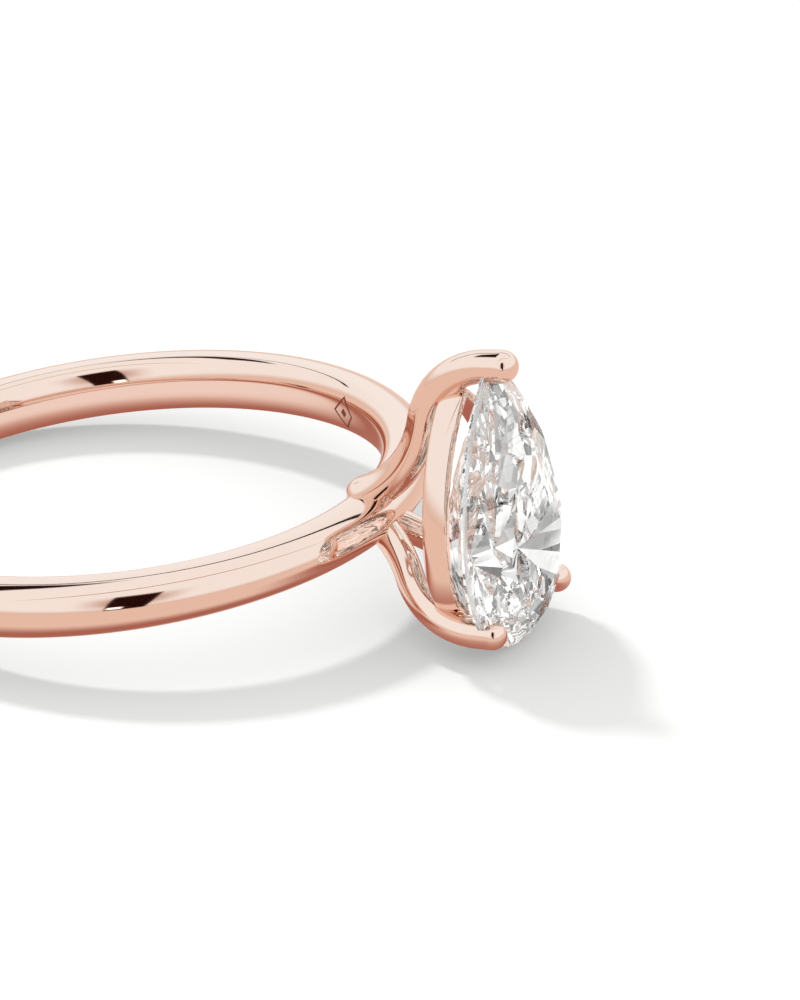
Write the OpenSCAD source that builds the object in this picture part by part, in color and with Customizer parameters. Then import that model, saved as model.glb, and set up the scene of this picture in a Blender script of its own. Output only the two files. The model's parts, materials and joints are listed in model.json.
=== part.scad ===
// Solitaire ring with a pear-shaped stone, in millimetres.
// +Z runs along the finger hole, +X points from the hole's centre to the stone,
// and the origin is the centre of the finger hole. The stone's point is up.

/* [Band] */
// Diameter of the finger hole
finger_d = 16.5; // [14:0.1:21]
// Thickness of the band, from the finger hole to its outside
band_t = 1.68; // [1.5:0.02:2.2]
// Width of the band along the finger
band_w = 1.74; // [1.6:0.02:2]
// Radius of the soft inner edges of the band
edge_r = 0.45; // [0.3:0.05:0.5]

/* [Stone] */
// Width of the stone across its round end
stone_w = 6.1; // [5.6:0.1:6.5]
// Radius of each long side arc, as a multiple of the half width
side_ratio = 2.55; // [2.4:0.05:2.7]
// Distance from the outside of the band to the girdle plane
stone_lift = 3.74; // [3.4:0.02:4.2]
// How far the centre of the round end lies below the middle of the band
stone_drop = 0.78; // [0.6:0.02:0.9]
// Height of the crown above the girdle
crown_h = 0.86; // [0.7:0.02:1]
// Thickness of the girdle
girdle_t = 0.12; // [0.08:0.02:0.2]
// Depth of the pavilion below the girdle
pavilion_h = 2.5; // [2.3:0.05:2.6]
// Size of the table as a share of the stone's outline
table_ratio = 0.62; // [0.55:0.01:0.68]

/* [Gallery rail] */
// Width of the rail across its round end
rail_w = 5.16; // [5:0.02:5.3]
// Thickness of the rail's wall
rail_wall = 0.34; // [0.25:0.02:0.4]
// Depth of the rail, measured away from the finger
rail_depth = 0.86; // [0.6:0.02:1]
// Distance from the girdle plane down to the rail's front edge
rail_gap = 0.86; // [0.8:0.02:1.1]
// How far the rail's round end sits above the stone's
rail_rise = 0.12; // [0:0.02:0.2]

/* [Prongs] */
// Diameter of the wire that holds the stone's point
point_wire_d = 1.04; // [1:0.02:1.1]
// Diameter of each wire at the round end
side_wire_d = 0.9; // [0.8:0.02:1]
// Angle of each lower wire from straight down
side_angle = 39; // [36:1:44]

/* [Hidden] */
$fn = 96;

finger_r = finger_d / 2;
band_r = finger_r + band_t;
half_w = band_w / 2;

girdle_x = band_r + stone_lift;
stone_z = -stone_drop;
stone_r = stone_w / 2;

rail_r = rail_w / 2;
rail_front_x = girdle_x - rail_gap;
rail_z = stone_z + rail_rise;

gold = [0.86, 0.62, 0.53];
clear_stone = [0.93, 0.95, 0.97, 0.6];

// Each wire bends twice in one plane: up from the band, then back along the head.
// It starts at root_x and root_h, h being the height above the head's axis, rising at
// root_slope. It steepens to bend, then flattens to end_slope before its round end.
point_root_x = finger_r + point_wire_d / 2 + 0.02;
point_root_h = 0.58;
point_root_slope = 21.4;
point_low_bend_r = 4.02;
point_high_bend_r = 2.67;
point_bend = 74.5;
point_end_slope = 3.3;
point_tip_x = girdle_x + 0.46;

side_root_x = finger_r + 1.07;
side_root_h = 0.39;
side_root_slope = 35.4;
side_low_bend_r = 4.74;
side_high_bend_r = 3.12;
side_bend = 60.6;
side_end_slope = 0;
side_tip_x = girdle_x + 0.22;

// The high bend is thinner than the low one by seam, and overlaps it by seam_turn degrees.
seam = 0.004;
seam_turn = 1;

// Facets: eight mains round the crown and pavilion, with a pair of girdle facets
// between each two mains and a star facet against each side of the table.
main_count = 8;
block = 4 * stone_r;
pair_step = 360 / main_count / 4;
crown_pair_steepen = 1.16;
star_flatten = 0.62;
star_reach = 0.55;
pavilion_pair_steepen = 1.07;
// Height of the flat culet that takes the place of a sharp one.
culet_h = 0.06;
// Mains at the stone's point are cut this much closer in, and its pairs further out.
tip_trim = 0.02;

// Pear outline: round end of radius r at the origin, sides meeting in a point up +Y.
function side_r(r) = side_ratio * r;
function side_offset(r) = side_r(r) - r;
function tip_h(r) = sqrt(pow(side_r(r), 2) - pow(side_offset(r), 2));
// Widest turn of a side arc before it reaches the point.
function tip_turn(r) = acos(side_offset(r) / side_r(r));

// Distance from the round end's centre to the tangent line that faces direction a,
// measured counter-clockwise from +X. Past the side arcs, the line runs through the point.
function reach(r, a) =
    let (t = a > 90 ? 180 - a : a)
    t <= 0 ? r : t <= tip_turn(r) ? side_r(r) - side_offset(r) * cos(t) : tip_h(r) * sin(t);

module pear(r) {
    circle(r);
    intersection() {
        translate([-side_offset(r), 0]) circle(side_r(r));
        translate([side_offset(r), 0]) circle(side_r(r));
        translate([-r, 0]) square([2 * r, tip_h(r) + 1]);
    }
}

// Turns a shape drawn flat, x across and y up, so that it faces along +X at height z.
module face_out(x, z) translate([x, 0, z]) rotate([90, 0, 90]) children();

// Cuts away all that lies beyond a plane. The plane faces direction a and leans back by
// slope; it passes the girdle height h at the given distance from the axis.
module facet_cut(a, distance, slope, h)
    rotate([0, 0, a]) translate([distance, 0, h]) rotate([0, slope, 0])
        translate([-block, -block, 0]) cube([2 * block, 2 * block, block]);

function crown_slope(a) = atan(crown_h / (reach(stone_r, a) * (1 - table_ratio)));
function pavilion_slope(a) = atan(pavilion_h / reach(stone_r, a));
// Directions of the facets, counted round from straight down and kept between -180 and 180.
function turn(k, step) = -90 + k * step;
function wrap(a) = a > 180 ? a - 360 : a;

// Past the side arcs, a facet's distance changes by trim, so that no two meet in one spot.
function trimmed(a, trim) = reach(stone_r, a) + (abs(90 - a) < 90 - tip_turn(stone_r) ? trim : 0);

module main_cuts(crown)
    for (k = [0 : main_count - 1]) {
        a = wrap(turn(k, 4 * pair_step));
        facet_cut(a, trimmed(a, -tip_trim), crown ? crown_slope(a) : pavilion_slope(a), girdle_t / 2);
    }

module pair_cuts(crown, steepen)
    for (k = [0 : 2 * main_count - 1]) {
        a = wrap(turn(k + 0.5, 2 * pair_step));
        slope = steepen * (crown ? crown_slope(a) : pavilion_slope(a));
        facet_cut(a, trimmed(a, tip_trim), slope, girdle_t / 2);
    }

module star_cuts()
    for (k = [0 : main_count - 1]) {
        a = wrap(turn(k + 0.5, 4 * pair_step));
        distance = reach(stone_r, a) * (1 - (1 - table_ratio) * star_reach);
        facet_cut(a, distance, star_flatten * crown_slope(a), girdle_t / 2 + crown_h * star_reach);
    }

// Part of a ring of wire, from +X round towards +Y.
module wire_bend(r, bend_r, turn)
    rotate_extrude(angle = turn) translate([bend_r, 0]) circle(r);

// A wire in the XZ plane from its root to tip_x, with a dome at both ends.
module wire(r, x, h, root_slope, low_r, bend, high_r, end_slope, tip_x) {
    // Low bend, centred above the root.
    low_x = x - low_r * sin(root_slope);
    low_h = h + low_r * cos(root_slope);
    translate([x, 0, h]) sphere(r);
    translate([low_x, 0, low_h]) rotate([90, 0, 0]) rotate([0, 0, root_slope - 90])
        wire_bend(r, low_r, bend - root_slope);
    // High bend, centred inside the head. It starts a little way inside the low bend.
    high_x = low_x + (low_r + high_r) * sin(bend);
    high_h = low_h - (low_r + high_r) * cos(bend);
    translate([high_x, 0, high_h]) rotate([90, 0, 0]) rotate([0, 0, 90 + end_slope])
        wire_bend(r - seam, high_r, bend - end_slope + seam_turn);
    // Straight end and its dome. It starts a little way inside the high bend.
    lap = high_r * seam_turn * PI / 180;
    end_x = high_x - high_r * sin(end_slope);
    end_h = high_h + high_r * cos(end_slope);
    length = (tip_x - end_x) / cos(end_slope);
    translate([end_x, 0, end_h]) rotate([0, 90 - end_slope, 0]) {
        translate([0, 0, -lap]) cylinder(r = r, h = length + lap);
        translate([0, 0, length]) sphere(r);
    }
}

module point_wire()
    wire(point_wire_d / 2, point_root_x, point_root_h, point_root_slope, point_low_bend_r,
        point_bend, point_high_bend_r, point_end_slope, point_tip_x);

// Lower wire; side is 1 towards +Y and -1 towards -Y.
module side_wire(side) rotate([180 + side * side_angle, 0, 0])
    wire(side_wire_d / 2, side_root_x, side_root_h, side_root_slope, side_low_bend_r,
        side_bend, side_high_bend_r, side_end_slope, side_tip_x);

module band_solid() rotate_extrude() {
    intersection() {
        translate([band_r - half_w, 0]) circle(half_w);
        translate([band_r - half_w, -half_w]) square(band_w);
    }
    translate([finger_r + edge_r, -half_w]) square([band_t - half_w - edge_r, band_w]);
    translate([finger_r, edge_r - half_w]) square([band_t - half_w, band_w - 2 * edge_r]);
    for (side = [-1, 1])
        translate([finger_r + edge_r, side * (half_w - edge_r)]) circle(edge_r);
}

// The space inside a pear of radius r, through the rail's depth.
module rail_block(r)
    face_out(rail_front_x - rail_depth, rail_z) linear_extrude(rail_depth) pear(r);

module rail_solid() difference() {
    rail_block(rail_r);
    face_out(rail_front_x - 2 * rail_depth, rail_z)
        linear_extrude(3 * rail_depth) pear(rail_r - rail_wall);
}

// The stone as it is blocked out, with its main facets only; it is drawn flat, table up.
module stone_block() difference() {
    translate([0, 0, culet_h - girdle_t / 2 - pavilion_h])
        linear_extrude(pavilion_h - culet_h + girdle_t + crown_h) pear(stone_r);
    main_cuts(true);
    mirror([0, 0, 1]) main_cuts(false);
}

// The stone is convex, so its hull is itself, as one clean closed shell.
module stone_solid() face_out(girdle_x, stone_z) hull() difference() {
    stone_block($fn = 64);
    pair_cuts(true, crown_pair_steepen);
    star_cuts();
    mirror([0, 0, 1]) pair_cuts(false, pavilion_pair_steepen);
}

// Each wire is filed to sit on the band and the rail, and notched for the stone's edge.
module seated() difference() {
    children();
    band_solid();
    rail_block(rail_r);
    face_out(girdle_x, stone_z) stone_block();
}

module shank() color(gold) band_solid();
module prong_point() color(gold) seated() point_wire();
module prong_left() color(gold) seated() side_wire(-1);
module prong_right() color(gold) seated() side_wire(1);
module gallery_rail() color(gold) rail_solid();
module stone() color(clear_stone) stone_solid();

shank();
prong_point();
prong_left();
prong_right();
gallery_rail();
stone();
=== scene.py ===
"""Builds the solitaire ring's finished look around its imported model, with a small product studio.

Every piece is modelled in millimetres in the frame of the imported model, then brought to metres.
+X points from the finger hole to the stone, +Z runs along the finger hole.
"""
import json
from math import acos, asin, atan, atan2, cos, pi, radians, sin, sqrt, tan

import bmesh
import bpy
from bpy.props import FloatProperty, FloatVectorProperty, IntProperty, PointerProperty
from mathutils import Matrix, Quaternion, Vector

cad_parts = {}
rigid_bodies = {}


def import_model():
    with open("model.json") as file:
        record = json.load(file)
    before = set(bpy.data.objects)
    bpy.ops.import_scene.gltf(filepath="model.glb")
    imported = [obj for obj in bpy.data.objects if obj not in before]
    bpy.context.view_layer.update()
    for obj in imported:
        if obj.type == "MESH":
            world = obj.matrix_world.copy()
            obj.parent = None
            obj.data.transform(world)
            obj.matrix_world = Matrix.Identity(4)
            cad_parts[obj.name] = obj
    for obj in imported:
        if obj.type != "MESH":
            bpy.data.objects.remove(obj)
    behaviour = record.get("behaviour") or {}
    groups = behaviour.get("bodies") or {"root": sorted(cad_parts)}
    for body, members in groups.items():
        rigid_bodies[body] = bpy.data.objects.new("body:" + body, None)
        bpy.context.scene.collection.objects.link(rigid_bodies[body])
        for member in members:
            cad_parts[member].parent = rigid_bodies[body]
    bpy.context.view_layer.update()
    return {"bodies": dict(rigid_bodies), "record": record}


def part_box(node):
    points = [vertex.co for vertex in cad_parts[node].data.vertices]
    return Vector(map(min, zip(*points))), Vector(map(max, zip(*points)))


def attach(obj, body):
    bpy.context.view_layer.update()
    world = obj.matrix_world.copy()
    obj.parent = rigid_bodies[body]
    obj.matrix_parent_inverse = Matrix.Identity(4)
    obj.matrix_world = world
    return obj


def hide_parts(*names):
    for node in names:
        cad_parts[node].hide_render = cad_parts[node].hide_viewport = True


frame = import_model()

bl_info = {
    "name": "Pear Solitaire Ring",
    "version": (1, 0, 0),
    "blender": (4, 5, 0),
    "location": "3D View > Sidebar > Ring",
    "description": "Band, wire prongs, gallery rail and pear stone of a solitaire ring, with its studio",
    "category": "Add Mesh",
}

MM = 0.001
BODY = next(iter(frame["bodies"]))
BORE = frame["record"]["mounts"][0]["dims"]
SHANK_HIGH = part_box("shank")[1] / MM
STONE_LOW, STONE_HIGH = (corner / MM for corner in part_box("stone"))
RAIL_LOW, RAIL_HIGH = (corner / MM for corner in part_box("gallery_rail"))

FINGER_R = BORE["r_mm"]
BAND_R = SHANK_HIGH.x
BAND_HALF_W = SHANK_HIGH.z
STONE_R = STONE_HIGH.y
STONE_Z = STONE_LOW.z + STONE_R
TABLE_X = STONE_HIGH.x
RAIL_R = RAIL_HIGH.y
RAIL_Z = RAIL_LOW.z + RAIL_R


# ---------------------------------------------------------------- settings

class BandSizes(bpy.types.PropertyGroup):
    """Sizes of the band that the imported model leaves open, in millimetres"""
    side_half_width: FloatProperty(
        name="Half width at the sides",
        description="Half the band's width away from the head, in millimetres",
        default=0.905, min=0.6, max=1.2)
    head_taper: FloatProperty(
        name="Taper at the head", description="Share of the width lost by the time the band reaches the head",
        subtype="FACTOR", default=0.145, min=0, max=0.4)
    inner_crown: FloatProperty(
        name="Inner crown", description="Depth of the comfort-fit curve inside the band, in millimetres",
        default=0.5, min=0.1, max=0.7)
    turns: IntProperty(
        name="Steps round the band", description="How many steps the band's section is spun in",
        default=256, min=64, max=512)


class EngravingSizes(bpy.types.PropertyGroup):
    """The plain mark inside the band"""
    place: FloatProperty(
        name="Place", description="Turn round the finger hole from the head to the mark",
        subtype="ANGLE", default=radians(58.5))
    outline_reach: FloatProperty(
        name="Outline", description="Reach of the lozenge's outline from its middle, in millimetres",
        default=0.46, min=0.1, max=0.6)
    heart_reach: FloatProperty(
        name="Heart", description="Reach of the small solid lozenge from its middle, in millimetres",
        default=0.13, min=0.05, max=0.4)
    line: FloatProperty(
        name="Line", description="Width of the outline, in millimetres", default=0.05, min=0.02, max=0.1)
    stretch: FloatProperty(
        name="Stretch", description="Enlargement of the whole mark", default=1.2, min=0.5, max=1.4)


class WireSizes(bpy.types.PropertyGroup):
    """Path of one prong wire in its own plane; the defaults are the two lower wires'"""
    radius: FloatProperty(
        name="Wire radius", description="Half the wire's thickness, in millimetres", default=0.45)
    root_flare: FloatProperty(
        name="Root flare", description="How much thicker the wire gets where it meets the band",
        subtype="FACTOR", default=0.12, min=0, max=1)
    root_x: FloatProperty(
        name="Root distance", description="Distance of the root from the hole's centre, in millimetres",
        default=9.32)
    root_height: FloatProperty(
        name="Root height", description="Height of the root over the head's axis, in millimetres",
        default=0.39)
    root_slope: FloatProperty(
        name="Root slope", description="Rise of the wire at its root", subtype="ANGLE", default=radians(35.4))
    low_bend: FloatProperty(
        name="Low bend", description="Radius of the bend next to the band, in millimetres", default=4.74)
    slope: FloatProperty(
        name="Steepest slope", description="Rise of the wire between its bends", subtype="ANGLE",
        default=radians(60.6))
    high_bend: FloatProperty(
        name="High bend", description="Radius of the bend next to the stone, in millimetres", default=3.12)
    end_slope: FloatProperty(
        name="End slope", description="Rise of the wire at its tip", subtype="ANGLE", default=0)
    tip_x: FloatProperty(
        name="Tip distance", description="Distance of the round end's centre from the hole's, in millimetres",
        default=13.89)


class RailSizes(bpy.types.PropertyGroup):
    """Section of the gallery rail"""
    wall: FloatProperty(
        name="Wall", description="Thickness of the ribbon, in millimetres", default=0.34, min=0.2, max=0.6)
    bulge: FloatProperty(
        name="Bulge", description="How far the ribbon's middle stands out past its edges, in millimetres",
        default=0.09, min=0, max=0.2)


class StoneSizes(bpy.types.PropertyGroup):
    """Proportions of the pear cut"""
    side_ratio: FloatProperty(
        name="Side arc", description="Radius of each long side as a multiple of the half width", default=2.55)
    crown_height: FloatProperty(
        name="Crown height", description="Height of the table over the girdle, in millimetres", default=0.86)
    girdle_thickness: FloatProperty(
        name="Girdle thickness", description="Height of the ground edge, in millimetres", default=0.12)
    pavilion_depth: FloatProperty(
        name="Pavilion depth", description="Depth of the stone under its girdle, in millimetres", default=2.5)
    table_ratio: FloatProperty(
        name="Table", description="Table as a share of the outline", subtype="FACTOR",
        default=0.62, min=0.4, max=0.8)
    pavilion_mains: IntProperty(
        name="Pavilion mains", description="How many long facets meet at the culet",
        default=14, min=8, max=24)
    crown_break: FloatProperty(
        name="Upper halves", description="Steepness of the crown's girdle facets over its mains",
        default=1.10)
    pavilion_break: FloatProperty(
        name="Lower halves", description="Steepness of the pavilion's girdle facets over its mains",
        default=1.012)
    outline_steps: IntProperty(
        name="Steps round the girdle", description="How many steps the outline is spun in",
        default=64, min=32, max=128)


class RingColours(bpy.types.PropertyGroup):
    """Colours of the finishes, and the painted reflection colours of the floor"""
    gold: FloatVectorProperty(
        name="Rose gold", description="Colour of the polished metal", subtype="COLOR",
        size=3, min=0, max=1, default=(0.87, 0.63, 0.53))
    stone: FloatVectorProperty(
        name="Stone", description="Tint of the clear stone", subtype="COLOR",
        size=3, min=0, max=1, default=(1.0, 1.0, 1.0))
    floor: FloatVectorProperty(
        name="Floor", description="Colour of the floor in plain sight", subtype="COLOR",
        size=3, min=0, max=1, default=(0.93, 0.93, 0.925))
    # Painted reflection: the floor glows in the next three colours only for rays mirrored by the metal; the
    # deep red one is painted shade right under the band and the head.
    floor_glow: FloatVectorProperty(
        name="Floor glow", description="Colour of the floor as the metal mirrors it", subtype="COLOR",
        size=3, min=0, max=1, default=(0.92, 0.78, 0.70))
    floor_inside: FloatVectorProperty(
        name="Floor inside", description="Colour of the floor inside the ring, as the metal mirrors it",
        subtype="COLOR", size=3, min=0, max=1, default=(1.0, 0.96, 0.95))
    floor_painted_shade: FloatVectorProperty(
        name="Floor contact",
        description="Colour of the floor right under the metal, as the metal mirrors it", subtype="COLOR",
        size=3, min=0, max=1, default=(0.46, 0.19, 0.145))


class StudioSettings(bpy.types.PropertyGroup):
    """Camera and light"""
    view_azimuth: FloatProperty(
        name="View azimuth", description="Turn of the camera round the finger hole's axis",
        subtype="ANGLE", default=radians(32))
    view_elevation: FloatProperty(
        name="View elevation", description="Height of the camera over the band's plane",
        subtype="ANGLE", default=radians(22.07))
    view_distance: FloatProperty(
        name="View distance", description="Distance from the hole's centre, in millimetres", default=269.6)
    aim: FloatVectorProperty(
        name="Aim", description="Point the camera looks at, in millimetres", subtype="XYZ",
        size=3, default=(7.71, 3.97, -1.4))
    lens: FloatProperty(name="Lens", description="Focal length, in millimetres", default=310.9)
    tilt: FloatProperty(
        name="Camera tilt", description="Turn of the camera off the floor's upright", subtype="ANGLE",
        default=radians(-0.32))
    key_direction: FloatVectorProperty(
        name="Key light", description="Direction towards the key light", subtype="XYZ",
        size=3, default=(-0.49, 0.30, 0.82))
    key_strength: FloatProperty(
        name="Key strength", description="Strength of the key light", default=1.75, min=0)
    key_spread: FloatProperty(
        name="Key spread", description="Width of the key light, which softens its shadow",
        subtype="ANGLE", default=radians(7))
    sky_strength: FloatProperty(
        name="Surround strength", description="Light of the surround on the floor", default=0.95, min=0)
    panel_colour: FloatVectorProperty(
        name="Panels", description="Light of the soft panels as polished metal mirrors it",
        subtype="COLOR", size=3, default=(1.06, 1.20, 1.26))
    horizon_colour: FloatVectorProperty(
        name="Horizon", description="Light low round the floor as polished metal mirrors it",
        subtype="COLOR", size=3, default=(0.86, 0.74, 0.66))


# ---------------------------------------------------------------- shared modelling

def make_object(bm, name, material):
    """Brings a millimetre bmesh to metres and puts it in the scene as an object."""
    bmesh.ops.scale(bm, vec=(MM, MM, MM), verts=bm.verts)
    mesh = bpy.data.meshes.new(name)
    bm.to_mesh(mesh)
    bm.free()
    mesh.materials.append(material)
    made = bpy.data.objects.new(name, mesh)
    bpy.context.scene.collection.objects.link(made)
    return made


def finish_piece(bm, name, material, slot, nodes, smooth=True):
    """Turns a millimetre bmesh into a finished piece that rides on the ring and stands for nodes.

    The stone doesn't show the gold behind it, which keeps the stone clear."""
    bmesh.ops.remove_doubles(bm, verts=bm.verts, dist=1e-5)
    bmesh.ops.recalc_face_normals(bm, faces=bm.faces)
    for face in bm.faces:
        face.smooth = smooth
    piece = make_object(bm, name, material)
    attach(piece, BODY)
    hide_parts(*nodes)
    piece.visible_transmission = slot != "rose_gold"
    return piece


def rounded_section(corners, radii):
    """A bmesh holding one flat outline: corners in the XZ plane, each rounded by its radius."""
    bm = bmesh.new()
    verts = [bm.verts.new((x, 0, z)) for x, z in corners]
    bm.faces.new(verts)
    for vert, (radius, segments) in zip(verts, radii):
        bmesh.ops.bevel(
            bm, geom=[vert], offset=radius, offset_type="OFFSET", affect="VERTICES",
            segments=segments, profile=0.5, material=-1)
    bmesh.ops.delete(bm, geom=bm.faces[:], context="FACES_ONLY")
    return bm


def side_r(r, ratio):
    """Radius of a pear's long side, from the radius of its round end."""
    return ratio * r


def side_offset(r, ratio):
    """How far the long side's centre lies past the round end's."""
    return (ratio - 1) * r


def tip_height(r, ratio):
    """Distance from the round end's centre to the point."""
    return sqrt(side_r(r, ratio) ** 2 - side_offset(r, ratio) ** 2)


def tip_turn(ratio):
    """Turn of a long side arc before it reaches the point."""
    return acos((ratio - 1) / ratio)


# ---------------------------------------------------------------- band

def build_shank(sizes, material):
    """Spins a comfort-fit section, half round outside and gently crowned inside, then tapers it."""
    half, crown = sizes.side_half_width, sizes.inner_crown
    bm = bmesh.new()
    bmesh.ops.create_circle(bm, segments=96, radius=1, matrix=Matrix.Rotation(pi / 2, 4, "X"))
    for vert in bm.verts:
        vert.co.z *= half
        if vert.co.x > 1e-6:
            vert.co.x = BAND_R - half + half * vert.co.x
        else:
            vert.co.x = FINGER_R + crown + crown * vert.co.x
    bmesh.ops.spin(
        bm, geom=bm.verts[:] + bm.edges[:], cent=(0, 0, 0), axis=(0, 0, 1), angle=2 * pi,
        steps=sizes.turns, use_merge=True, use_normal_flip=False, use_duplicate=False)
    for vert in bm.verts:
        facing_head = max(0.0, vert.co.x / vert.co.to_2d().length)
        vert.co.z *= 1 - sizes.head_taper * facing_head ** 2
    return finish_piece(bm, "shank_band", material, "rose_gold", ["shank"])


def inner_wall(angle, z, sizes):
    """Distance of the band's inside from the finger hole's axis, at a height along the finger."""
    half = sizes.side_half_width * (1 - sizes.head_taper * max(0.0, cos(angle)) ** 2)
    return FINGER_R + sizes.inner_crown * (1 - sqrt(1 - (z / half) ** 2))


def build_engraving(mark, band, material):
    """Lays a plain lozenge round a smaller solid one inside the band, a hair proud of the wall, coloured dark
    as painted shade of a cut line.
    """
    proud = 0.004
    bm = bmesh.new()
    ring = bmesh.ops.create_circle(bm, segments=4, radius=mark.outline_reach, cap_ends=True)["verts"]
    face = ring[0].link_faces[0]
    bmesh.ops.inset_region(
        bm, faces=[face], thickness=mark.line, use_boundary=True, use_even_offset=True)
    bmesh.ops.delete(bm, geom=[face], context="FACES")
    bmesh.ops.create_circle(bm, segments=4, radius=mark.heart_reach, cap_ends=True)
    bmesh.ops.scale(bm, vec=(mark.stretch, mark.stretch, 1), verts=bm.verts)
    long_edges = [e for e in bm.edges if e.calc_length() > 3 * mark.line]
    bmesh.ops.subdivide_edges(bm, edges=long_edges, cuts=7, use_grid_fill=True)
    for vert in bm.verts:
        angle = mark.place - vert.co.x / FINGER_R
        radius = inner_wall(angle, vert.co.y, band) - proud
        vert.co = (radius * cos(angle), radius * sin(angle), vert.co.y)
    return finish_piece(bm, "engraved_lozenge", material, "rose_gold", ["shank"])


# ---------------------------------------------------------------- prong wires

def wire_stations(wire):
    """Points along a wire's centre line: distance out, height, slope and radius."""
    low_x = wire.root_x - wire.low_bend * sin(wire.root_slope)
    low_h = wire.root_height + wire.low_bend * cos(wire.root_slope)
    high_x = low_x + (wire.low_bend + wire.high_bend) * sin(wire.slope)
    high_h = low_h - (wire.low_bend + wire.high_bend) * cos(wire.slope)
    bends = []
    steps, flared = 28, 0.9
    for i in range(steps + 1):
        turn = wire.root_slope + (wire.slope - wire.root_slope) * i / steps
        bends.append((low_x + wire.low_bend * sin(turn), low_h - wire.low_bend * cos(turn), turn))
    for i in range(1, steps + 1):
        turn = wire.slope + (wire.end_slope - wire.slope) * i / steps
        bends.append((high_x - wire.high_bend * sin(turn), high_h + wire.high_bend * cos(turn), turn))
    end_x, end_h, turn = bends[-1]
    straight = (wire.tip_x - end_x) / cos(turn)
    bends.append((wire.tip_x, end_h + straight * sin(turn), turn))
    stations = []
    for i, (x, h, turn) in enumerate(bends):
        fade = max(0.0, 1 - i / (flared * steps))
        stations.append((x, h, turn, wire.radius * (1 + wire.root_flare * fade ** 2)))
    return stations


def dome(station, outward, steps=14):
    """Stations that close a wire's end with half a ball. outward is 1 past the tip, -1 before the root."""
    x, h, turn, radius = station
    rings = []
    for i in range(1, steps + 1):
        t = pi / 2 * i / steps
        ahead = outward * radius * sin(t)
        rings.append((x + ahead * cos(turn), h + ahead * sin(turn), turn, max(radius * cos(t), 1e-4)))
    return rings


def build_wire(wire, angle, name, node, material):
    """Sweeps a circle from root to tip. angle turns the wire's plane about the head's axis."""
    middle = wire_stations(wire)
    stations = dome(middle[0], -1)[::-1] + middle + dome(middle[-1], 1)
    roll = Matrix.Rotation(angle, 4, "X")

    def placed(station):
        x, h, turn, radius = station
        frame_in_plane = Matrix((
            (0, -sin(turn), cos(turn), x), (1, 0, 0, 0), (0, cos(turn), sin(turn), h), (0, 0, 0, 1)))
        return roll @ frame_in_plane @ Matrix.Diagonal((radius, radius, radius, 1))

    bm = bmesh.new()
    bmesh.ops.create_circle(bm, cap_ends=True, segments=48, radius=1, matrix=placed(stations[0]))
    ring = bm.edges[:]
    last = placed(stations[0])
    for station in stations[1:]:
        here = placed(station)
        grown = bmesh.ops.extrude_edge_only(bm, edges=ring)["geom"]
        ring = [g for g in grown if isinstance(g, bmesh.types.BMEdge) and g.is_boundary]
        verts = [g for g in grown if isinstance(g, bmesh.types.BMVert)]
        bmesh.ops.transform(bm, matrix=here @ last.inverted(), verts=verts)
        last = here
    bmesh.ops.contextual_create(bm, geom=ring)
    return finish_piece(bm, name, material, "rose_gold", [node])


# ---------------------------------------------------------------- gallery rail

def build_rail(sizes, ratio, material):
    """Spins the rail's section round the pear: a quarter turn, then one long side, then mirrored."""
    back, front = RAIL_LOW.x, RAIL_HIGH.x
    outside, inside = sizes.bulge - RAIL_R, sizes.wall - RAIL_R
    corners = [
        (back, outside), ((back + front) / 2, -RAIL_R), (front, outside), (front, inside), (back, inside)]
    radii_and_segments = [(0.12, 6), (0.28, 16), (0.07, 5), (0.05, 4), (0.05, 4)]
    bm = rounded_section(corners, radii_and_segments)
    section = bm.verts[:] + bm.edges[:]
    quarter = bmesh.ops.spin(
        bm, geom=section, cent=(0, 0, 0), axis=(1, 0, 0), angle=pi / 2, steps=32,
        use_merge=False, use_normal_flip=False, use_duplicate=False)
    offset = side_offset(RAIL_R, ratio)
    past_point = radians(4)
    bmesh.ops.spin(
        bm, geom=quarter["geom_last"], cent=(0, -offset, 0), axis=(1, 0, 0),
        angle=tip_turn(ratio) + past_point, steps=48,
        use_merge=False, use_normal_flip=False, use_duplicate=False)
    bmesh.ops.bisect_plane(
        bm, geom=bm.verts[:] + bm.edges[:] + bm.faces[:], plane_co=(0, 0, 0), plane_no=(0, -1, 0),
        dist=1e-6, clear_outer=True)
    bmesh.ops.mirror(bm, geom=bm.verts[:] + bm.edges[:] + bm.faces[:], axis="Y", merge_dist=1e-4)
    bmesh.ops.translate(bm, vec=(0, 0, RAIL_Z), verts=bm.verts)
    return finish_piece(bm, "gallery_rail_ribbon", material, "rose_gold", ["gallery_rail"])


# ---------------------------------------------------------------- stone

def reach(angle, ratio):
    """Distance from the round end's centre to the tangent line that faces angle."""
    t = pi - angle if angle > pi / 2 else angle
    if t <= 0:
        return STONE_R
    if t <= tip_turn(ratio):
        return side_r(STONE_R, ratio) - side_offset(STONE_R, ratio) * cos(t)
    return tip_height(STONE_R, ratio) * sin(t)


def cut_facet(bm, angle, distance, slope, height, side):
    """Grinds one flat: side is 1 for the crown and -1 for the pavilion."""
    normal = Vector((side * cos(slope), sin(slope) * cos(angle), sin(slope) * sin(angle)))
    point = Vector((side * height, distance * cos(angle), distance * sin(angle)))
    cut = bmesh.ops.bisect_plane(
        bm, geom=bm.verts[:] + bm.edges[:] + bm.faces[:], plane_co=point, plane_no=normal,
        dist=1e-6, clear_outer=True)
    edges = [g for g in cut["geom_cut"] if isinstance(g, bmesh.types.BMEdge)]
    if len(edges) > 2:
        bmesh.ops.contextual_create(bm, geom=edges)


def facing(step, count):
    """Direction of facet step out of count, from straight down, kept between -180 and 180 degrees."""
    angle = -pi / 2 + 2 * pi * step / count
    return angle - 2 * pi if angle > pi else angle


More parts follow.
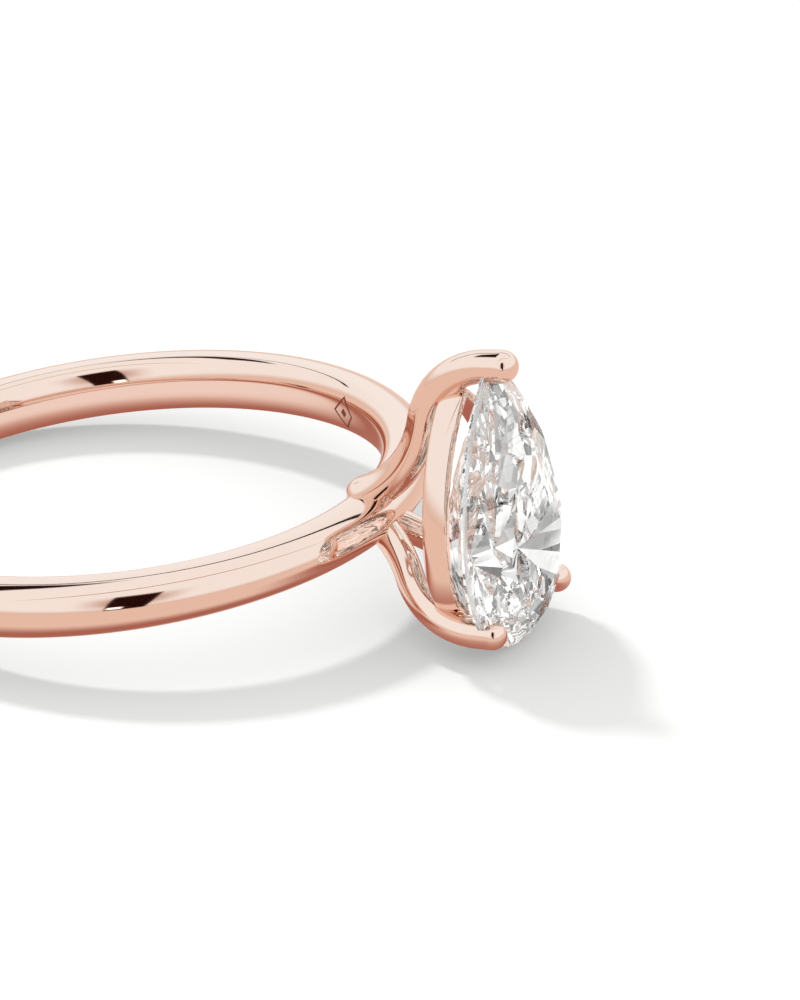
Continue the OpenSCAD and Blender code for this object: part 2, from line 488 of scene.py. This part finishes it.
def build_stone(sizes, material):
    """Cuts the pear from a straight-sided block, one flat at a time, and sets it in the head."""
    ratio = sizes.side_ratio
    girdle = sizes.girdle_thickness / 2
    culet_flat, star_start, star_flatness = 0.03, 0.55, 0.62
    culet = -girdle - sizes.pavilion_depth + culet_flat
    bm = bmesh.new()
    start = bm.verts.new((culet, 0, -STONE_R))
    steps = sizes.outline_steps // 4
    quarter = bmesh.ops.spin(
        bm, geom=[start], cent=(culet, 0, 0), axis=(1, 0, 0), angle=pi / 2, steps=steps)
    bmesh.ops.spin(
        bm, geom=quarter["geom_last"], cent=(culet, -side_offset(STONE_R, ratio), 0), axis=(1, 0, 0),
        angle=tip_turn(ratio), steps=steps)
    bmesh.ops.mirror(bm, geom=bm.verts[:] + bm.edges[:], axis="Y", merge_dist=1e-3)
    bmesh.ops.remove_doubles(bm, verts=bm.verts, dist=1e-3)
    base = bmesh.ops.contextual_create(bm, geom=bm.edges[:])["faces"]
    top = bmesh.ops.extrude_face_region(bm, geom=base)["geom"]
    bmesh.ops.translate(
        bm, vec=(girdle + sizes.crown_height - culet, 0, 0),
        verts=[g for g in top if isinstance(g, bmesh.types.BMVert)])

    def crown_slope(angle):
        return atan(sizes.crown_height / (reach(angle, ratio) * (1 - sizes.table_ratio)))

    def pavilion_slope(angle):
        return atan(sizes.pavilion_depth / reach(angle, ratio))

    for a in (facing(k, 8) for k in range(8)):
        cut_facet(bm, a, reach(a, ratio), crown_slope(a), girdle, 1)
    for a in (facing(k + 0.5, 16) for k in range(16)):
        cut_facet(bm, a, reach(a, ratio), atan(sizes.crown_break * tan(crown_slope(a))), girdle, 1)
    mains = sizes.pavilion_mains
    for a in (facing(k, mains) for k in range(mains)):
        cut_facet(bm, a, reach(a, ratio), pavilion_slope(a), girdle, -1)
    for a in (facing(k + 0.5, 2 * mains) for k in range(2 * mains)):
        cut_facet(bm, a, reach(a, ratio), atan(sizes.pavilion_break * tan(pavilion_slope(a))), girdle, -1)
    for a in (facing(k + 0.5, 8) for k in range(8)):
        distance = reach(a, ratio) * (1 - (1 - sizes.table_ratio) * star_start)
        height = girdle + star_start * sizes.crown_height
        cut_facet(bm, a, distance, star_flatness * crown_slope(a), height, 1)
    girdle_x = TABLE_X - sizes.crown_height - girdle
    bmesh.ops.translate(bm, vec=(girdle_x, 0, STONE_Z), verts=bm.verts)
    return finish_piece(bm, "pear_stone", material, "clear_stone", ["stone"], smooth=False)


# ---------------------------------------------------------------- finishes

def add_socket(group, name, kind, value=None):
    """Adds an input that starts at value, or an output if no value is given."""
    in_out = "OUTPUT" if value is None else "INPUT"
    socket = group.interface.new_socket(name=name, in_out=in_out, socket_type=kind)
    if value is not None:
        socket.default_value = value


def feed(links, socket, value):
    """Fills a socket from another node's output, or with a plain number, colour or vector."""
    if isinstance(value, bpy.types.NodeSocket):
        links.new(value, socket)
    elif socket.type == "RGBA":
        socket.default_value = (*value, 1)
    else:
        socket.default_value = value


def mix_colour(nodes, links, factor, first, second):
    mix = nodes.new("ShaderNodeMix")
    mix.data_type = "RGBA"
    feed(links, mix.inputs["Factor"], factor)
    feed(links, mix.inputs[6], first)
    feed(links, mix.inputs[7], second)
    return mix.outputs[2]


def mix_shader(nodes, links, factor, first, second):
    mix = nodes.new("ShaderNodeMixShader")
    for socket, value in zip(mix.inputs, (factor, first, second)):
        links.new(value, socket)
    return mix.outputs["Shader"]


def maths(nodes, links, operation, *values, clamp=False):
    node = nodes.new("ShaderNodeMath")
    node.operation = operation
    node.use_clamp = clamp
    for socket, value in zip(node.inputs, values):
        feed(links, socket, value)
    return node.outputs[0]


def vector_maths(nodes, links, operation, first, second=(0, 0, 0), result="Value"):
    node = nodes.new("ShaderNodeVectorMath")
    node.operation = operation
    feed(links, node.inputs[0], first)
    feed(links, node.inputs[1], second)
    return node.outputs[result]


def climb(nodes, links, value, low, high, smooth=True):
    """A mask that climbs from 0 to 1 while value goes from low to high."""
    ramp = nodes.new("ShaderNodeMapRange")
    if smooth:
        ramp.interpolation_type = "SMOOTHSTEP"
    feed(links, ramp.inputs["From Min"], low)
    feed(links, ramp.inputs["From Max"], high)
    feed(links, ramp.inputs["Value"], value)
    return ramp.outputs["Result"]


def cloud(nodes, links, place, scale, detail):
    noise = nodes.new("ShaderNodeTexNoise")
    feed(links, noise.inputs["Vector"], place)
    feed(links, noise.inputs["Scale"], scale)
    feed(links, noise.inputs["Detail"], detail)
    return noise.outputs["Fac"]


def glow_of(nodes, links, colour):
    glow = nodes.new("ShaderNodeEmission")
    feed(links, glow.inputs["Color"], colour)
    return glow.outputs["Emission"]


def sparkle(nodes, links, place, scale, low, high, light, dark):
    """The light and dark patches that break up into sparkle inside the stone."""
    patches = cloud(nodes, links, place, scale, 1)
    return mix_colour(nodes, links, climb(nodes, links, patches, low, high, smooth=False), light, dark)


def start_material(name):
    """A new node material: its nodes, its links and its main shader."""
    material = bpy.data.materials.new(name)
    material.use_nodes = True
    nodes = material.node_tree.nodes
    return material, nodes, material.node_tree.links, nodes["Principled BSDF"]


def buffed_group():
    """Cloth-buffed metal: a slow change of colour and a fine haze of roughness and waviness."""
    group = bpy.data.node_groups.new("Buffed metal", "ShaderNodeTree")
    white = (1, 1, 1, 1)
    for name, kind, value in (
            ("Colour", "Color", white), ("Deep colour", "Color", white), ("Roughness", "Float", 0.05),
            ("Haze", "Float", 0.03), ("Waviness", "Float", 0.02),
            ("Colour", "Color", None), ("Roughness", "Float", None), ("Normal", "Vector", None)):
        add_socket(group, name, "NodeSocket" + kind, value)
    nodes, links = group.nodes, group.links
    given = nodes.new("NodeGroupInput").outputs
    out = nodes.new("NodeGroupOutput").inputs
    place = nodes.new("ShaderNodeTexCoord").outputs["Object"]
    slow = cloud(nodes, links, place, 160, 3)
    grain = cloud(nodes, links, place, 2600, 2)
    links.new(mix_colour(nodes, links, slow, given["Colour"], given["Deep colour"]), out["Colour"])
    links.new(
        maths(nodes, links, "MULTIPLY_ADD", grain, given["Haze"], given["Roughness"]), out["Roughness"])
    bump = nodes.new("ShaderNodeBump")
    bump.inputs["Distance"].default_value = 0.02 * MM
    links.new(given["Waviness"], bump.inputs["Strength"])
    links.new(slow, bump.inputs["Height"])
    links.new(bump.outputs["Normal"], out["Normal"])
    return group


def tinted(colour, factors):
    return tuple(c * f for c, f in zip(colour, factors))


def buffed_metal(name, colour, deep, roughness, haze, waviness):
    material, nodes, links, shader = start_material(name)
    shader.inputs["Metallic"].default_value = 1.0
    buffed = nodes.new("ShaderNodeGroup")
    buffed.node_tree = bpy.data.node_groups.get("Buffed metal") or buffed_group()
    for socket, value in zip(buffed.inputs, (colour, deep, roughness, haze, waviness)):
        feed(links, socket, value)
    links.new(buffed.outputs["Colour"], shader.inputs["Base Color"])
    links.new(buffed.outputs["Roughness"], shader.inputs["Roughness"])
    links.new(buffed.outputs["Normal"], shader.inputs["Normal"])
    return material


def rose_gold(colours):
    return buffed_metal(
        "polished_rose_gold", tuple(colours.gold), tinted(colours.gold, (0.97,) * 3),
        roughness=0.035, haze=0.03, waviness=0.05)


def engraving_painted_shade(colours):
    # The cut's rougher finish is real; its dark brown colour is painted shade of the groove, as the mark sits
    # proud instead of cut in.
    return buffed_metal(
        "engraving_painted_shade", tinted(colours.gold, (0.36, 0.16, 0.12)), tinted(colours.gold, (0.2, 0.07, 0.05)),
        roughness=0.4, haze=0.2, waviness=0.4)


def cut_stone_group():
    """Cut stone: polished flats, a finely ground girdle and a faint cloud of tint."""
    group = bpy.data.node_groups.new("Cut stone", "ShaderNodeTree")
    white = (1, 1, 1, 1)
    for name, kind, value in (
            ("Colour", "Color", white), ("Tinted colour", "Color", white), ("Girdle distance", "Float", 0.0),
            ("Girdle half thickness", "Float", 0.06 * MM), ("Ground roughness", "Float", 0.3),
            ("Colour", "Color", None), ("Roughness", "Float", None)):
        add_socket(group, name, "NodeSocket" + kind, value)
    nodes, links = group.nodes, group.links
    given = nodes.new("NodeGroupInput").outputs
    out = nodes.new("NodeGroupOutput").inputs
    place = nodes.new("ShaderNodeTexCoord").outputs["Object"]
    tint = cloud(nodes, links, place, 300, 2)
    links.new(mix_colour(nodes, links, tint, given["Colour"], given["Tinted colour"]), out["Colour"])
    axes = nodes.new("ShaderNodeSeparateXYZ")
    links.new(place, axes.inputs[0])
    girdle = maths(
        nodes, links, "COMPARE", axes.outputs["X"], given["Girdle distance"], given["Girdle half thickness"])
    links.new(maths(nodes, links, "MULTIPLY", girdle, given["Ground roughness"]), out["Roughness"])
    return group


def clear_stone(colours):
    material, nodes, links, shader = start_material("cut_clear_stone")
    stone = nodes.new("ShaderNodeGroup")
    stone.node_tree = bpy.data.node_groups.get("Cut stone") or cut_stone_group()
    feed(links, stone.inputs["Colour"], tuple(colours.stone))
    feed(links, stone.inputs["Tinted colour"], tinted(colours.stone, (0.97, 0.975, 0.98)))
    feed(links, stone.inputs["Girdle distance"], (TABLE_X - bpy.context.scene.ring_stone.crown_height) * MM)
    links.new(stone.outputs["Colour"], shader.inputs["Base Color"])
    links.new(stone.outputs["Roughness"], shader.inputs["Roughness"])
    shader.inputs["IOR"].default_value = 2.42
    shader.inputs["Transmission Weight"].default_value = 1.0
    return material


# ---------------------------------------------------------------- studio

def resting_plane():
    """The floor the ring lies on: a point of it and its upward normal.

    The ring rests on the stone's round end and on the far side of the band."""
    stone_x = TABLE_X - bpy.context.scene.ring_stone.crown_height
    span = Vector((stone_x + BAND_R - BAND_HALF_W, 0, STONE_LOW.z))
    slope = atan2(-span.z, span.x) - asin(BAND_HALF_W / span.length)
    return Vector((stone_x, 0, STONE_LOW.z)), Vector((sin(slope), 0, cos(slope)))


def build_floor(material):
    clearance = 0.01
    point, normal = resting_plane()
    bm = bmesh.new()
    bmesh.ops.create_circle(bm, cap_ends=True, segments=96, radius=600)
    bmesh.ops.rotate(
        bm, cent=(0, 0, 0), matrix=normal.to_track_quat("Z", "Y").to_matrix(), verts=bm.verts)
    bmesh.ops.translate(bm, vec=point - clearance * normal, verts=bm.verts)
    make_object(bm, "floor", material)


def painted_floor_reflection(nodes, links, place, colours):
    """Painted reflection colour of the floor for the metal: pale inside the ring, with painted shade right
    under the band and the head.
    """
    flat = vector_maths(nodes, links, "MULTIPLY", place, (1, 1, 0), result="Vector")
    from_axis = vector_maths(nodes, links, "LENGTH", flat)
    under_head = (12.5 * MM, 0, 0)
    from_head = vector_maths(nodes, links, "DISTANCE", flat, under_head)
    past_band = maths(nodes, links, "SUBTRACT", from_axis, (FINGER_R + BAND_R) / 2 * MM)
    from_band = maths(nodes, links, "ABSOLUTE", past_band)
    # The masks by the band and by the head paint shade into the floor's reflection.
    inside, band_painted_shade, head_painted_shade = (
        climb(nodes, links, distance, low * MM, high * MM)
        for distance, low, high in ((from_axis, 5.5, 8), (from_band, 0.4, 2.6), (from_head, 1.5, 7)))
    colour = mix_colour(nodes, links, inside, colours.floor_inside, colours.floor_glow)
    colour = mix_colour(nodes, links, band_painted_shade, colours.floor_painted_shade, colour)
    return mix_colour(nodes, links, head_painted_shade, colours.floor_painted_shade, colour)


def pale_floor(colours):
    """A matt floor with an even glow, which shows painted reflection colours to the metal and painted light
    and dark patches to the stone.
    """
    material, nodes, links, shader = start_material("pale_floor")
    for name, value in (
            ("Base Color", tinted(colours.floor, (0.6,) * 3)), ("Roughness", 1.0),
            ("Specular IOR Level", 0.0), ("Emission Color", (1.0, 0.99, 0.98)), ("Emission Strength", 0.34)):
        feed(links, shader.inputs[name], value)
    place = nodes.new("ShaderNodeTexCoord").outputs["Object"]
    path = nodes.new("ShaderNodeLightPath").outputs
    # Painted reflection: the floor glows in these colours only for rays that the metal mirrors.
    mirrored = glow_of(nodes, links, painted_floor_reflection(nodes, links, place, colours))
    # Painted light and dark patches on the floor, seen only by the stone's sharp rays, which make its
    # sparkle.
    through_stone = glow_of(
        nodes, links, sparkle(nodes, links, place, 120, 0.52, 0.62, (1.25, 1.25, 1.23), (0.1,) * 3))
    # Only the stone's polished flats send perfectly sharp rays on, because the metal is a little rough.
    metal_sees = maths(
        nodes, links, "SUBTRACT", path["Is Glossy Ray"], path["Is Singular Ray"], clamp=True)
    seen = mix_shader(nodes, links, metal_sees, shader.outputs["BSDF"], mirrored)
    seen = mix_shader(nodes, links, path["Is Singular Ray"], seen, through_stone)
    links.new(seen, nodes["Material Output"].inputs["Surface"])
    return material


def build_surround(settings):
    """Soft panels over a warmer horizon for the metal, bright and dark patches for the stone."""
    world = bpy.data.worlds.new("studio_surround")
    bpy.context.scene.world = world
    world.use_nodes = True
    nodes, links = world.node_tree.nodes, world.node_tree.links
    path = nodes.new("ShaderNodeLightPath").outputs
    direction = nodes.new("ShaderNodeTexCoord").outputs["Generated"]
    height = vector_maths(nodes, links, "DOT_PRODUCT", direction, resting_plane()[1])
    panels = mix_colour(
        nodes, links, climb(nodes, links, height, 0.0, 0.25), settings.horizon_colour, settings.panel_colour)
    through_stone = sparkle(nodes, links, direction, 8, 0.43, 0.53, (1.3, 1.3, 1.28), (0.015,) * 3)
    colour = mix_colour(
        nodes, links, path["Is Diffuse Ray"], (1, 1, 1), (settings.sky_strength,) * 3)
    colour = mix_colour(nodes, links, path["Is Glossy Ray"], colour, panels)
    colour = mix_colour(nodes, links, path["Is Singular Ray"], colour, through_stone)
    links.new(colour, nodes["Background"].inputs["Color"])


def card_finish(name, colour, softness):
    """A plain glow that fades out over softness, a share of the card, at each edge."""
    material, nodes, links, shader = start_material(name)
    nodes.remove(shader)
    sides = nodes.new("ShaderNodeSeparateXYZ")
    links.new(nodes.new("ShaderNodeTexCoord").outputs["UV"], sides.inputs[0])
    fades = [
        climb(nodes, links, maths(nodes, links, "PINGPONG", sides.outputs[side], 0.5), 0.0, softness)
        for side in "XY"]
    clear = nodes.new("ShaderNodeBsdfTransparent").outputs["BSDF"]
    seen = mix_shader(
        nodes, links, maths(nodes, links, "MULTIPLY", *fades), clear, glow_of(nodes, links, colour))
    links.new(seen, nodes["Material Output"].inputs["Surface"])
    return material


def build_card(name, azimuth, elevation, width, height, colour, lean=0, softness=0.1, distance=400):
    """A flat card seen only in reflections, facing the ring's centre.

    azimuth, elevation and lean are in degrees from the floor, and sizes in millimetres."""
    upright = resting_plane()[1]
    ahead = Vector((0, 1, 0)).cross(upright).normalized()
    aside = upright.cross(ahead)
    azimuth, elevation, lean = radians(azimuth), radians(elevation), radians(lean)
    flat = cos(azimuth) * ahead + sin(azimuth) * aside
    towards = cos(elevation) * flat + sin(elevation) * upright
    across = upright.cross(towards).normalized()
    turn = Matrix((across, towards.cross(across), towards)).transposed()
    bm = bmesh.new()
    bm.loops.layers.uv.new("across")
    bmesh.ops.create_grid(bm, x_segments=1, y_segments=1, size=0.5, calc_uvs=True)
    bmesh.ops.scale(bm, vec=(width, height, 1), verts=bm.verts)
    bmesh.ops.rotate(bm, cent=(0, 0, 0), matrix=Matrix.Rotation(lean, 3, "Z"), verts=bm.verts)
    bmesh.ops.rotate(bm, cent=(0, 0, 0), matrix=turn, verts=bm.verts)
    bmesh.ops.translate(bm, vec=distance * towards, verts=bm.verts)
    card = make_object(bm, name, card_finish(name, colour, softness))
    card.visible_camera = card.visible_diffuse = card.visible_shadow = False
    card.visible_transmission = card.visible_volume_scatter = False


def build_cards():
    """The dark gaps between the soft panels, which give the metal its crisp lines."""
    dark, brown, shade, bright = (0.02, 0.004, 0.003), (0.50, 0.27, 0.18), (0.62, 0.42, 0.33), (2.2, 2.1, 2.0)
    build_card("gap_by_camera", -62, 26, 120, 400, dark, softness=0.08)
    build_card("shade_by_camera", -62, 30, 330, 420, shade, softness=0.45, distance=410)
    build_card("gap_behind", 118, 48, 900, 28, dark, lean=-12)
    build_card("gap_aside", 160, 55, 260, 104, dark, softness=0.2)
    build_card("gap_overhead", -40, 78, 900, 26, brown, softness=0.4)
    build_card("spot_by_camera", -66, 8, 46, 60, bright, softness=0.25, distance=380)


def build_key(settings):
    lamp = bpy.data.lights.new("key_light", "SUN")
    lamp.energy = settings.key_strength
    lamp.angle = settings.key_spread
    key = bpy.data.objects.new("key_light", lamp)
    key.rotation_mode = "QUATERNION"
    key.rotation_quaternion = Vector(settings.key_direction).to_track_quat("Z", "Y")
    key.visible_glossy = False
    bpy.context.scene.collection.objects.link(key)


def build_camera(settings):
    lens = bpy.data.cameras.new("camera")
    lens.lens = settings.lens
    lens.sensor_width = 36
    lens.clip_start = 0.001
    camera = bpy.data.objects.new("camera", lens)
    a, e = settings.view_azimuth, settings.view_elevation
    place = settings.view_distance * Vector((sin(a) * cos(e), -cos(a) * cos(e), sin(e)))
    back = (place - Vector(settings.aim)).normalized()
    upright = resting_plane()[1]
    right = upright.cross(back).normalized()
    turn = Matrix((right, back.cross(right), back)).transposed().to_quaternion()
    camera.rotation_mode = "QUATERNION"
    camera.rotation_quaternion = Quaternion(back, settings.tilt) @ turn
    camera.location = place * MM
    bpy.context.scene.collection.objects.link(camera)
    bpy.context.scene.camera = camera


# ---------------------------------------------------------------- operators

def gold_finish():
    """The one polished gold that all the metal pieces share."""
    return bpy.data.materials.get("polished_rose_gold") or rose_gold(bpy.context.scene.ring_colours)


class RING_OT_shank(bpy.types.Operator):
    """Build the round-backed band"""
    bl_idname = "ring.shank"
    bl_label = "Band"

    def execute(self, context):
        build_shank(context.scene.ring_band, gold_finish())
        return {"FINISHED"}


class RING_OT_engraving(bpy.types.Operator):
    """Engrave the small lozenge inside the band"""
    bl_idname = "ring.engraving"
    bl_label = "Engraving"

    def execute(self, context):
        scene = context.scene
        build_engraving(scene.ring_engraving, scene.ring_band, engraving_painted_shade(scene.ring_colours))
        return {"FINISHED"}


class RING_OT_prongs(bpy.types.Operator):
    """Build the three prong wires"""
    bl_idname = "ring.prongs"
    bl_label = "Prongs"

    def execute(self, context):
        scene = context.scene
        gold = gold_finish()
        build_wire(scene.ring_point_wire, 0, "prong_over_point", "prong_point", gold)
        build_wire(scene.ring_side_wire, pi - SIDE_SPREAD, "prong_near_round_end", "prong_left", gold)
        build_wire(scene.ring_side_wire, pi + SIDE_SPREAD, "prong_far_round_end", "prong_right", gold)
        return {"FINISHED"}


class RING_OT_rail(bpy.types.Operator):
    """Build the gallery rail under the stone"""
    bl_idname = "ring.rail"
    bl_label = "Gallery rail"

    def execute(self, context):
        scene = context.scene
        build_rail(scene.ring_rail, scene.ring_stone.side_ratio, gold_finish())
        return {"FINISHED"}


class RING_OT_stone(bpy.types.Operator):
    """Cut the pear stone, facet by facet"""
    bl_idname = "ring.stone"
    bl_label = "Stone"

    def execute(self, context):
        build_stone(context.scene.ring_stone, clear_stone(context.scene.ring_colours))
        return {"FINISHED"}


class RING_OT_studio(bpy.types.Operator):
    """Set up the floor, light and camera"""
    bl_idname = "ring.studio"
    bl_label = "Studio"

    def execute(self, context):
        scene = context.scene
        build_floor(pale_floor(scene.ring_colours))
        build_surround(scene.ring_studio)
        build_cards()
        build_key(scene.ring_studio)
        build_camera(scene.ring_studio)
        scene.view_settings.view_transform = "Standard"
        scene.cycles.max_bounces = 32
        scene.cycles.glossy_bounces = 24
        scene.cycles.transmission_bounces = 32
        scene.cycles.caustics_reflective = False
        scene.cycles.caustics_refractive = False
        return {"FINISHED"}


class RING_PT_panel(bpy.types.Panel):
    """Ring pieces and studio"""
    bl_idname = "RING_PT_panel"
    bl_label = "Pear Solitaire Ring"
    bl_space_type = "VIEW_3D"
    bl_region_type = "UI"
    bl_category = "Ring"

    def draw(self, context):
        for operator in OPERATORS:
            self.layout.operator(operator.bl_idname)


SETTINGS = {
    "ring_band": BandSizes, "ring_engraving": EngravingSizes, "ring_point_wire": WireSizes,
    "ring_side_wire": WireSizes, "ring_rail": RailSizes, "ring_stone": StoneSizes,
    "ring_colours": RingColours, "ring_studio": StudioSettings}
OPERATORS = (RING_OT_shank, RING_OT_engraving, RING_OT_prongs, RING_OT_rail, RING_OT_stone, RING_OT_studio)
# The point's wire is thicker and steeper than the two lower ones, whose planes turn off straight down.
POINT_WIRE = dict(
    radius=0.52, root_x=8.79, root_height=0.58, root_slope=radians(21.4), low_bend=4.02,
    slope=radians(74.5), high_bend=2.67, end_slope=radians(3.3), tip_x=14.13)
SIDE_SPREAD = radians(39)


def register():
    for group in dict.fromkeys(SETTINGS.values()):
        bpy.utils.register_class(group)
    for name, group in SETTINGS.items():
        setattr(bpy.types.Scene, name, PointerProperty(type=group))
    for operator in OPERATORS:
        bpy.utils.register_class(operator)
    bpy.utils.register_class(RING_PT_panel)


def unregister():
    bpy.utils.unregister_class(RING_PT_panel)
    for operator in reversed(OPERATORS):
        bpy.utils.unregister_class(operator)
    for name in SETTINGS:
        delattr(bpy.types.Scene, name)
    for group in dict.fromkeys(SETTINGS.values()):
        bpy.utils.unregister_class(group)


def main():
    register()
    for name, value in POINT_WIRE.items():
        setattr(bpy.context.scene.ring_point_wire, name, value)
    bpy.ops.ring.shank()
    bpy.ops.ring.engraving()
    bpy.ops.ring.prongs()
    bpy.ops.ring.rail()
    bpy.ops.ring.stone()
    bpy.ops.ring.studio()


if __name__ == "__main__":
    main()
